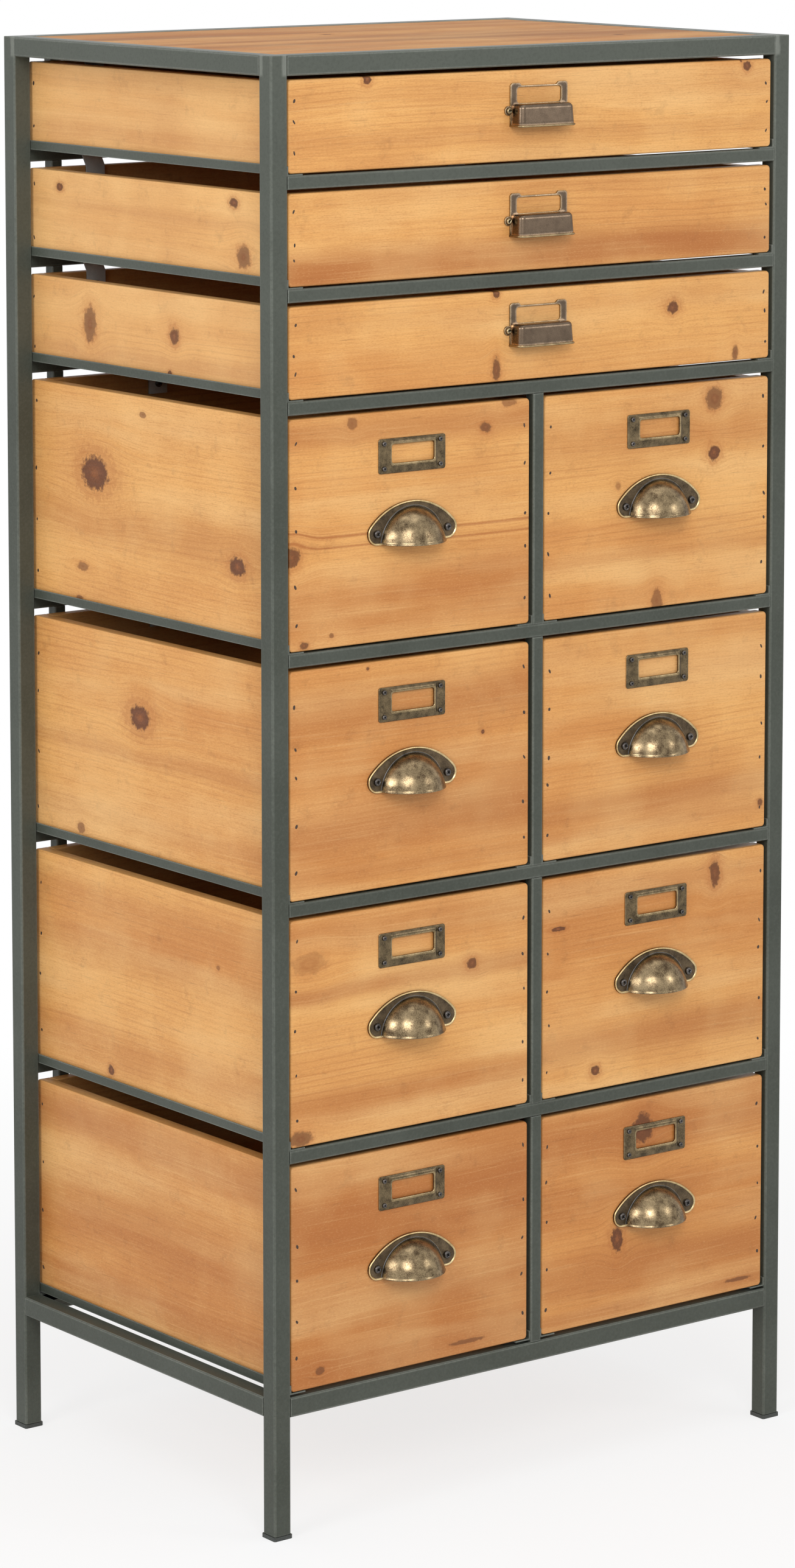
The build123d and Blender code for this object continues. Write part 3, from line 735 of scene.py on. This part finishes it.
def hood_frame_outline():
    """The flat label frame of a label pull, with horned upper corners and a screw ear each side."""
    ear_x, ear_radius = hood_ear_mm
    half = frame_half_mm
    top = frame_top_mm
    corner = frame_corner_mm
    horn, horn_drop = horn_mm
    meet = math.degrees(math.acos((half - ear_x) / ear_radius))
    right = [(half, -hood_drop_mm)]
    right += arc((ear_x, 0), ear_radius, -meet, meet, 14)
    right += arc((half - corner, top - corner), corner, 0, 90, 5)
    right += [(half - horn, top), (half - horn - 0.6, top - 0.3),
              (half - horn - 2.2, top - horn_drop + 0.2), (half - horn - 2.8, top - horn_drop)]
    return right + [(-x, z) for x, z in reversed(right)]


def hood_pull(name, body, node, place):
    """A flat label frame with a hooded grip that has a rolled lip."""
    shape = Shape()
    outline = hood_frame_outline()
    slot = rounded_rectangle(*slot_half_mm, frame_corner_mm, slot_lift_mm)
    fronts = []
    backs = []
    for loop, side in ((outline, -1), (slot, 1)):
        profile = ((0.0, 0.0), (0.0, 0.85), (0.12, 1.08), (0.35, frame_sheet_mm))
        rings = [shape.ring(grown(loop, side * inset), forward) for inset, forward in profile]
        shape.skin(rings[:2], material=1)
        shape.skin(rings[1:], material=1)
        fronts.append(rings[-1])
        backs.append(rings[0])
    shape.fill(fronts)
    shape.fill(backs)
    levels = [(0.0, -hood_drop_mm), (0.25, -8.0), (0.6, -3.0), (0.9, hood_top_mm - 3.4)]
    for step in range(1, 8):
        turn = math.radians(90 * step / 7)
        levels.append((0.9 + 3.2 * (1 - math.cos(turn)), hood_top_mm - 3.4 + 3.4 * math.sin(turn)))
    outer = hood_rings(shape, levels, 0.0)
    inner = hood_rings(shape, [(inset, min(z, hood_top_mm - 1.0)) for inset, z in levels], 1.0)
    shape.skin(outer, closed=False)
    shape.skin(inner, closed=False)
    shape.skin([outer[0], inner[0]], closed=False)
    shape.cap(outer[-1])
    shape.cap(inner[-1])
    lip = hood_path(-0.35, 5.6)
    shape.tube([(x, y, -hood_drop_mm + 0.8) for x, y in lip], 0.8, 10, material=1)
    mesh = shape.mesh(name, place)
    return link(name, mesh, body, [hood_bronze, bronze_worn], node)


def hood_path(inset, corner):
    """The hood's outline seen from above, from its left end round the front to its right end."""
    half = hood_half_mm - inset
    reach = hood_reach_mm - inset
    points = [(-half, 0.0), (-half, -(reach - corner) / 2)]
    points += arc((-half + corner, -reach + corner), corner, 180, 270, 8)
    points += arc((half - corner, -reach + corner), corner, 270, 360, 8)
    return points + [(half, -(reach - corner) / 2), (half, 0.0)]


def hood_rings(shape, levels, sheet):
    """The hood's rings from its lower edge up, drawn in by the sheet's thickness."""
    rings = []
    for inset, z in levels:
        path = hood_path(inset + sheet, max(1.6, 5.0 - 0.5 * inset))
        rings.append(shape.ring([(x, y, z) for x, y in path]))
    return rings


def screw_head(shape, place, sizes, recess="cross"):
    """A pan head with a recess, whose seat stands at a place (x, forward, z)."""
    radius, height = sizes
    start = len(shape.bm.verts)
    turn = chance.uniform(0, 90)
    profile = ((1.0, 0.0), (1.0, 0.35), (0.95, 0.68), (0.82, 0.92), (0.66, 1.0))
    rings = [shape.ring(arc((0, 0), radius * share, 0, 360, 20)[:-1], height * rise)
             for share, rise in profile]
    shape.skin(rings)
    shape.cap(rings[0])
    reach = 0.48 * radius
    half = 0.13 * radius
    if recess == "cross":
        marks = []
        arm = [(reach, -half), (reach, half), (half, half)]
        for _ in range(4):
            marks += arm
            arm = [(-z, x) for x, z in arm]
    else:
        reach = 0.62 * radius
        marks = [(reach, -half), (reach, half), (-reach, half), (-reach, -half)]
    swing = math.radians(turn)
    marks = [(x * math.cos(swing) - z * math.sin(swing), x * math.sin(swing) + z * math.cos(swing))
             for x, z in marks]
    upper = shape.ring(marks, height)
    lower = shape.ring(marks, 0.45 * height)
    shape.fill([rings[-1], upper])
    shape.skin([upper, lower], material=1)
    shape.cap(lower, material=1)
    shape.move((place[0], -place[1], place[2]), start)


def fit_screws(name, body, node, heads, place, metal, recess="cross"):
    """One piece with a drawer's screws of one kind."""
    shape = Shape()
    for x, forward, z, sizes in heads:
        screw_head(shape, (x, forward, z), sizes, recess)
    return link(name, shape.mesh(name, place), body, [metal, recess_painted_shade], node)


def stop_tab(name, body, node, place):
    """A bent steel tab against the back board, with its edges rounded and a pan head screw."""
    half = stop_width_mm / 2
    sheet = stop_sheet_mm
    bend = 0.5
    section = [(0, -stop_leg_mm), (0, bend), (stop_lean_mm, stop_rise_mm),
               (stop_lean_mm - sheet, stop_rise_mm), (-sheet, bend), (-sheet, -stop_leg_mm)]
    shape = Shape()
    rings = [shape.ring([(x, y, z) for y, z in section]) for x in (-half, half)]
    shape.skin(rings)
    shape.cap(rings[0])
    shape.cap(rings[1])
    sharp = [e for e in shape.bm.edges if e.calc_face_angle(0) > math.radians(50)]
    bmesh.ops.bevel(shape.bm, geom=sharp, offset=0.35, segments=2, affect="EDGES", profile=0.5)
    link(f"{name}_tab", shape.mesh(f"{name}_tab", place), body, [tab_steel_painted_lit], node)
    fit_screws(f"{name}_screw", body, node, [(0, sheet, -stop_screw_drop_mm, stop_screw_mm)], place,
               dark_steel)


def drive_nails(name, body, places, facing):
    """Small dark nail heads, sunk nearly flush, at places on a flat face."""
    bm = bmesh.new()
    for place in places:
        half_x, half_z = (r * mm * chance.uniform(0.75, 1.25) for r in nail_radius_mm)
        lean = math.radians(chance.uniform(-35, 35))
        loops = []
        for share, proud in ((1.0, -0.2), (1.0, 0.6), (0.6, 1.0)):
            loop = []
            for step in range(10):
                angle = 2 * math.pi * step / 10
                across = share * half_x * math.cos(angle)
                rise = share * half_z * math.sin(angle)
                turned = across * math.cos(lean) - rise * math.sin(lean)
                height = across * math.sin(lean) + rise * math.cos(lean)
                out = proud * nail_proud_mm * mm
                offset = (turned, -out, height) if facing == "front" else (facing * out, turned, height)
                loop.append(bm.verts.new(Vector(place) + Vector(offset)))
            loops.append(loop)
        for near, far in zip(loops, loops[1:]):
            for step in range(10):
                bm.faces.new((near[step - 1], near[step], far[step], far[step - 1]))
        bm.faces.new(loops[0])
        bm.faces.new(loops[-1])
    bmesh.ops.recalc_face_normals(bm, faces=bm.faces)
    mesh = bpy.data.meshes.new(name)
    bm.to_mesh(mesh)
    bm.free()
    link(name, mesh, body, [filler])


# Each front, and each left side that shows in the photograph: how far it leans to the darker wood,
# its knots and its bands. They lie in whole millimetres from the board's own corner, the left lower
# one of a front and the front lower one of a side. The lean to darker wood is partly the wood's own
# tone and partly painted shade: it is set greater on the lowest drawers, so the chest grows darker
# towards the bottom.
fronts = {
    "wide_drawer_1": (
        -0.06, [(71, 66, 3.8, 1.0, 0.9), (436, 63, 4.0, 1.0, 0.8), (430, 67, 1.3, 1.0, 0.7)],
        [(21, 10.0, 0.25), (54, 12.0, 0.18)]),
    "wide_drawer_2": (-0.04, [], [(12, 20.0, 0.95), (61, 8.0, 0.20)]),
    "wide_drawer_3": (
        -0.06, [(191, 66, 3.6, 0.9, 0.8), (363, 45, 5.2, 1.1, 0.8), (191, 9, 9.0, 0.45, 0.7),
                (426, 6, 6.0, 0.5, 0.6)], [(55, 12.0, 0.22)]),
    "left_drawer_1": (
        0.05, [(57, 164, 5.0, 0.9, 0.45), (181, 152, 3.9, 1.4, 0.65), (2, 70, 8.0, 0.9, 0.75),
               (13, 4, 2.8, 1.6, 0.7), (38, 9, 2.0, 1.0, 0.5), (203, 169, 3.5, 2.2, 0.4)],
        [(80, 1.5, 0.9), (72, 1.3, 0.8), (158, 14.0, 0.60), (25, 34.0, 0.45)]),
    "left_drawer_2": (
        0.07, [(179, 107, 1.8, 1.0, 0.8), (71, 166, 1.4, 1.0, 0.7)],
        [(138, 32.0, 0.62), (45, 22.0, 0.66), (14, 12.0, 0.35)]),
    "left_drawer_3": (
        0.03, [(169, 116, 4.4, 1.1, 0.75), (9, 6, 6.0, 1.8, 0.6), (17, 137, 9.0, 1.8, 0.18)],
        [(115, 11.0, 0.80), (155, 18.0, 0.42), (30, 16.0, 0.50)]),
    "left_drawer_4": (
        0.24, [(26, 12, 3.2, 1.4, 0.6), (165, 9, 1.8, 9.0, 0.55)],
        [(122, 46.0, 0.80), (65, 24.0, 0.45), (12, 20.0, 0.75)]),
    "right_drawer_1": (
        0.0, [(168, 157, 9.0, 0.95, 0.62), (168, 115, 6.0, 1.0, 0.85), (111, 5, 8.5, 0.6, 0.5),
              (72, 97, 3.4, 0.9, 0.3)], [(135, 34.0, 0.38), (40, 9.0, 0.30)]),
    "right_drawer_2": (
        0.0, [(218, 20, 3.0, 1.0, 0.7)], [(34, 16.0, 0.62), (160, 14.0, 0.25), (16, 7.0, 0.35)]),
    "right_drawer_3": (
        0.03, [(172, 154, 10.0, 0.55, 0.75), (15, 131, 2.0, 3.4, 0.9), (52, 15, 4.3, 1.1, 0.8)],
        [(36, 20.0, 0.60), (157, 10.0, 0.30)]),
    "right_drawer_4": (
        0.10, [(100, 147, 12.0, 0.9, 0.78), (75, 63, 10.0, 0.6, 0.85), (199, 9, 1.6, 9.0, 0.6)],
        [(148, 26.0, 0.46), (40, 24.0, 0.55), (9, 9.0, 0.62)]),
}
sides = {
    "wide_drawer_1": (-0.09, [], [(16, 12.0, 0.40), (58, 10.0, 0.25)]),
    "wide_drawer_2": (
        -0.07, [(286, 54, 3.3, 1.4, 0.8), (57, 57, 3.6, 1.5, 0.8), (45, 18, 8.5, 1.0, 0.6)],
        [(43, 7.0, 0.30)]),
    "wide_drawer_3": (
        -0.08, [(246, 34, 14.0, 0.6, 0.6), (134, 34, 6.5, 0.9, 0.75), (140, 6, 2.2, 1.2, 0.8)],
        [(12, 12.0, 0.55)]),
    "left_drawer_1": (
        -0.10, [(241, 105, 13.5, 1.35, 0.85), (54, 55, 7.0, 1.4, 0.85), (258, 31, 3.6, 2.0, 0.5),
                (176, 156, 2.4, 2.0, 0.5), (263, 6, 2.0, 2.4, 0.6)], [(70, 26.0, 0.40)]),
    "left_drawer_2": (
        -0.04, [(182, 109, 9.5, 1.35, 0.9), (263, 11, 4.6, 1.1, 0.5)],
        [(80, 10.0, 0.40), (25, 14.0, 0.30)]),
    "left_drawer_3": (
        -0.06, [(224, 12, 4.0, 1.0, 0.8), (81, 119, 1.8, 1.5, 0.4)],
        [(145, 16.0, 0.25), (105, 20.0, 0.30), (25, 26.0, 0.30)]),
    "left_drawer_4": (0.10, [], [(152, 26.0, 0.55), (80, 40.0, 0.40), (18, 18.0, 0.45)]),
}


def marked_pine(name, seed, grain, corner, board, flecks=0.0, wash=0.0):
    """Pine with one board's knots and bands, moved from its corner to their place in the chest."""
    tone_and_shade, knots, bands = board
    along, up = (place / mm for place in corner)
    moved_knots = [(along + x, up + z, *look) for x, z, *look in knots]
    moved_bands = [(up + z, *look) for z, *look in bands]
    return pine(name, seed, grain, moved_knots, moved_bands, tone_and_shade, flecks=flecks, wash=wash)


def build_drawer(body, seed):
    """The boards, nails and fittings of one drawer, placed by its CAD nodes."""
    wide = body in wide_drawers
    front_low, front_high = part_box(f"{body}_front")
    box_low, box_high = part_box(f"{body}_box")
    left, _, bottom = box_low
    right, back, top = box_high
    start = front_high.y
    board = board_mm * mm
    front_wood = marked_pine(f"{body}_front_pine", seed, "front", (front_low.x, front_low.z),
                             fronts[body])
    left_wood = plain_side
    if body in sides:
        left_wood = marked_pine(f"{body}_side_pine", seed + 0.37, "side", (start, bottom),
                                sides[body], flecks=0.14, wash=0.26 if wide else 0.0)
    front = board_mesh(f"{body}_front", front_low, front_high, front_edge_mm * mm, front_corner_mm * mm)
    link(f"{body}_front_board", front, body, [front_wood], f"{body}_front")
    swell = side_swell_mm * mm
    inset = (board_mm - bottom_in_groove_mm) * mm
    rise = bottom + bottom_rise_mm * mm
    boards = (
        ("left", (left - swell, start, bottom), (left + board, back, top), left_wood, board_edge_mm),
        ("right", (right - board, start, bottom), (right + swell, back, top), plain_side, board_edge_mm),
        ("back", (left + board, back - board, bottom), (right - board, back, top), plain_back,
         board_edge_mm),
        ("bottom", (left + inset, start - bottom_in_groove_mm * mm, rise),
         (right - inset, back - inset, rise + bottom_sheet_mm * mm), plain_bottom, hidden_edge_mm))
    for part, low, high, wood, edge_mm in boards:
        name = f"{body}_{part}_board"
        link(name, board_mesh(name, low, high, edge_mm * mm), body, [wood], f"{body}_box")

    # Nails down both ends of the front and down the back end of each side
    count = 3 if wide else 5
    margin = nail_margin_mm * mm
    wander = nail_wander_mm * mm
    places = []
    for x in (front_low.x + nail_inset_mm * mm, front_high.x - nail_inset_mm * mm):
        for step in range(count):
            share = (step + 0.5 + chance.uniform(-0.22, 0.22)) / count
            height = front_low.z + margin + share * (front_high.z - front_low.z - 2 * margin)
            places.append((x + chance.uniform(-wander, wander), front_low.y, height))
    drive_nails(f"{body}_front_nails", body, places, "front")
    for side, x, facing in (("left", left - swell, -1), ("right", right + swell, 1)):
        places = []
        count = 2 if wide else 4
        for step in range(count):
            share = (step + 0.5 + chance.uniform(-0.2, 0.2)) / count
            places.append((x, back - chance.uniform(*side_nail_inset_mm) * mm,
                           bottom + share * (top - bottom)))
        drive_nails(f"{body}_{side}_nails", body, places, facing)

    # Pull, label holder and screws
    screws = f"{body}_screws_and_stops" if wide else f"{body}_screws_and_stop"
    face_y = front_low.y
    if wide:
        low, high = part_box(f"{body}_label_pull")
        place = Vector(((low.x + high.x) / 2, face_y, low.z + hood_drop_mm * mm))
        hood_pull(f"{body}_label_pull_stamped", body, f"{body}_label_pull", place)
        heads = [(side * hood_ear_mm[0], frame_sheet_mm, 0, hood_screw_mm) for side in (-1, 1)]
        fit_screws(f"{body}_pull_screws", body, screws, heads, place, screw_brass, "slot")
        half = (cad_box[1][0] - cad_box[0][0]) / 2 - (stop_inset_mm + cap_lip_mm) * mm
        middle = [-half, half]
    else:
        low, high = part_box(f"{body}_cup_pull")
        place = Vector(((low.x + high.x) / 2, face_y, low.z + cup_ear_mm * mm))
        cup_pull(f"{body}_cup_pull_stamped", body, f"{body}_cup_pull", place)
        heads = [(side * cup_half_span_mm, cup_sheet_mm, 0, cup_screw_mm) for side in (-1, 1)]
        fit_screws(f"{body}_pull_screws", body, screws, heads, place, dark_steel)
        low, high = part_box(f"{body}_label_holder")
        place = Vector(((low.x + high.x) / 2, face_y, (low.z + high.z) / 2))
        label_holder(f"{body}_label_holder_stamped", body, f"{body}_label_holder", place)
        across, up = holder_screws_mm
        heads = [(side * across, holder_sheet_mm, rise * up, holder_screw_mm)
                 for side in (-1, 1) for rise in (-1, 1)]
        fit_screws(f"{body}_holder_screws", body, screws, heads, place, dark_steel)
        column = -1 if body.startswith("left") else 1
        middle = [column * (abs(front_low.x) + abs(front_high.x)) / 2]
    for index, x in enumerate(middle):
        place = Vector((x, back - board, top))
        stop_tab(f"{body}_stop_{index + 1}", body, screws, place)


steel = painted_steel("painted_steel")
brass = aged_metal("antique_brass", 0.22, 0.8, 0.38, 0.62)
brass_dark = aged_metal("antique_brass_dark", 0.34)
brass_worn = aged_metal("antique_brass_worn", 0.26)
# Painted highlight: the seam bead's blue-grey tone
seam_painted_highlight = aged_metal("seam_painted_highlight", 0.36)
bronze = aged_metal("antique_bronze", 0.28)
bronze_worn = aged_metal("antique_bronze_worn", 0.28)
# The hood's wide, strong bright edges are partly a painted highlight on its corners
hood_bronze = aged_metal("hood_bronze", 0.22, 0.95, 0.25, 0.78, edge_radius=0.0026)
dark_steel = aged_metal("dark_steel", 0.32)
# Painted shade: the near-black screw recesses
recess_painted_shade = aged_metal("recess", 0.5)
screw_brass = aged_metal("screw_brass", 0.28)
# Painted light: the stop tabs are made pale so that they read as lit inside the drawers
tab_steel_painted_lit = aged_metal("tab_steel_painted_lit", 0.36, 0.5, metallic=0.0)
plastic = black_plastic("black_plastic")
filler = nail_filler("nail_filler")
plain_side = pine("plain_side_pine", 8.2, "side", tone_and_shade=-0.04, flecks=0.14)
plain_back = pine("plain_back_pine", 12.6, "front", tone_and_shade=0.02)
plain_bottom = pine("plain_bottom_pine", 17.9, "top", tone_and_shade=0.0)
top_wood = pine("top_pine", 3.0, "top", [(-30.0, 62.0, 3.0, 1.6, 0.8), (150.0, -75.0, 4.0, 1.2, 0.7)],
                (), 0.12, 42.0, gloss=0.03)

for node, material, edge_mm in (
        ("corner_posts", steel, rail_edge_mm), ("top_rails", steel, rail_edge_mm),
        ("bottom_rails", steel, rail_edge_mm), ("front_rails", steel, thin_rail_edge_mm),
        ("rear_rails", steel, thin_rail_edge_mm), ("drawer_runners", steel, 0),
        ("foot_caps", plastic, 0), ("top_panel", top_wood, top_edge_mm)):
    dress(node, material)
    if edge_mm:
        soften(node, edge_mm * mm)

for number, drawer in enumerate(wide_drawers + deep_drawers):
    build_drawer(drawer, first_seed + seed_step * number)


def make_camera():
    """The photograph's view, with upright sides drawn nearly upright by a vertical shift."""
    data = bpy.data.cameras.new("camera")
    data.sensor_width = sensor
    data.lens = sensor * focal_pixels / photo_height
    data.shift_y = (optical_row - photo_height / 2) / photo_height
    data.clip_end = 50.0
    camera = bpy.data.objects.new("camera", data)
    low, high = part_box("corner_posts")
    camera.location = Vector((low.x, low.y, 0.0)) + camera_from_corner
    camera.rotation_euler = (math.radians(90) - camera_pitch, 0.0, -camera_yaw)
    bpy.context.scene.collection.objects.link(camera)
    bpy.context.scene.camera = camera


def area_lamp(name, place, height, size, power):
    """A soft square lamp that faces the middle of the chest at a height."""
    data = bpy.data.lights.new(name, "AREA")
    data.shape = "SQUARE"
    data.size = size
    data.energy = power
    lamp = bpy.data.objects.new(name, data)
    lamp.location = place
    lamp.rotation_euler = (Vector((0, 0, height)) - Vector(place)).to_track_quat("-Z", "Y").to_euler()
    bpy.context.scene.collection.objects.link(lamp)


def seen_directly(g):
    """1 where a surface is seen by the camera, in a reflection or through glass."""
    path = g.add("ShaderNodeLightPath").outputs
    seen = g.math("MAXIMUM", path["Is Camera Ray"], path["Is Glossy Ray"])
    return g.math("MAXIMUM", seen, path["Is Transmission Ray"])


def make_stage():
    """A white floor that keeps a soft shadow, a white world and soft studio lamps."""
    g = Graph("floor")
    place = g.place()
    tint = g.mix(g.noise(place, 3.0), (0.90, 0.90, 0.90), (0.92, 0.92, 0.92))
    diffuse = g.add("ShaderNodeBsdfDiffuse", {"Color": tint})
    white = g.add("ShaderNodeEmission", {"Color": (1, 1, 1, 1), "Strength": 1.0})
    distance = g.vector("LENGTH", place, (0, 0, 0)).outputs["Value"]
    share = g.ramp(distance, *floor_white)
    share = g.times(share, seen_directly(g))
    surface = g.add("ShaderNodeMixShader", {0: share, 1: diffuse.outputs[0], 2: white.outputs[0]})
    g.add("ShaderNodeOutputMaterial", {"Surface": surface.outputs[0]})
    mesh = bpy.data.meshes.new("floor")
    reach = 12.0
    corners = [(-reach, -reach, 0), (reach, -reach, 0), (reach, reach, 0), (-reach, reach, 0)]
    mesh.from_pydata(corners, [], [(0, 1, 2, 3)])
    mesh.materials.append(g.owner)
    floor = bpy.data.objects.new("floor", mesh)
    bpy.context.scene.collection.objects.link(floor)
    world = Graph("world", "worlds")
    level = world.ramp(seen_directly(world), 0.0, 1.0, world_level, 1.0)
    light = world.add("ShaderNodeBackground", {"Color": (1, 1, 1, 1), "Strength": level})
    world.add("ShaderNodeOutputWorld", {"Surface": light.outputs[0]})
    bpy.context.scene.world = world.owner
    for name, lamp in lamps.items():
        area_lamp(name, *lamp)


make_camera()
make_stage()
bpy.context.scene.view_settings.view_transform = "Standard"
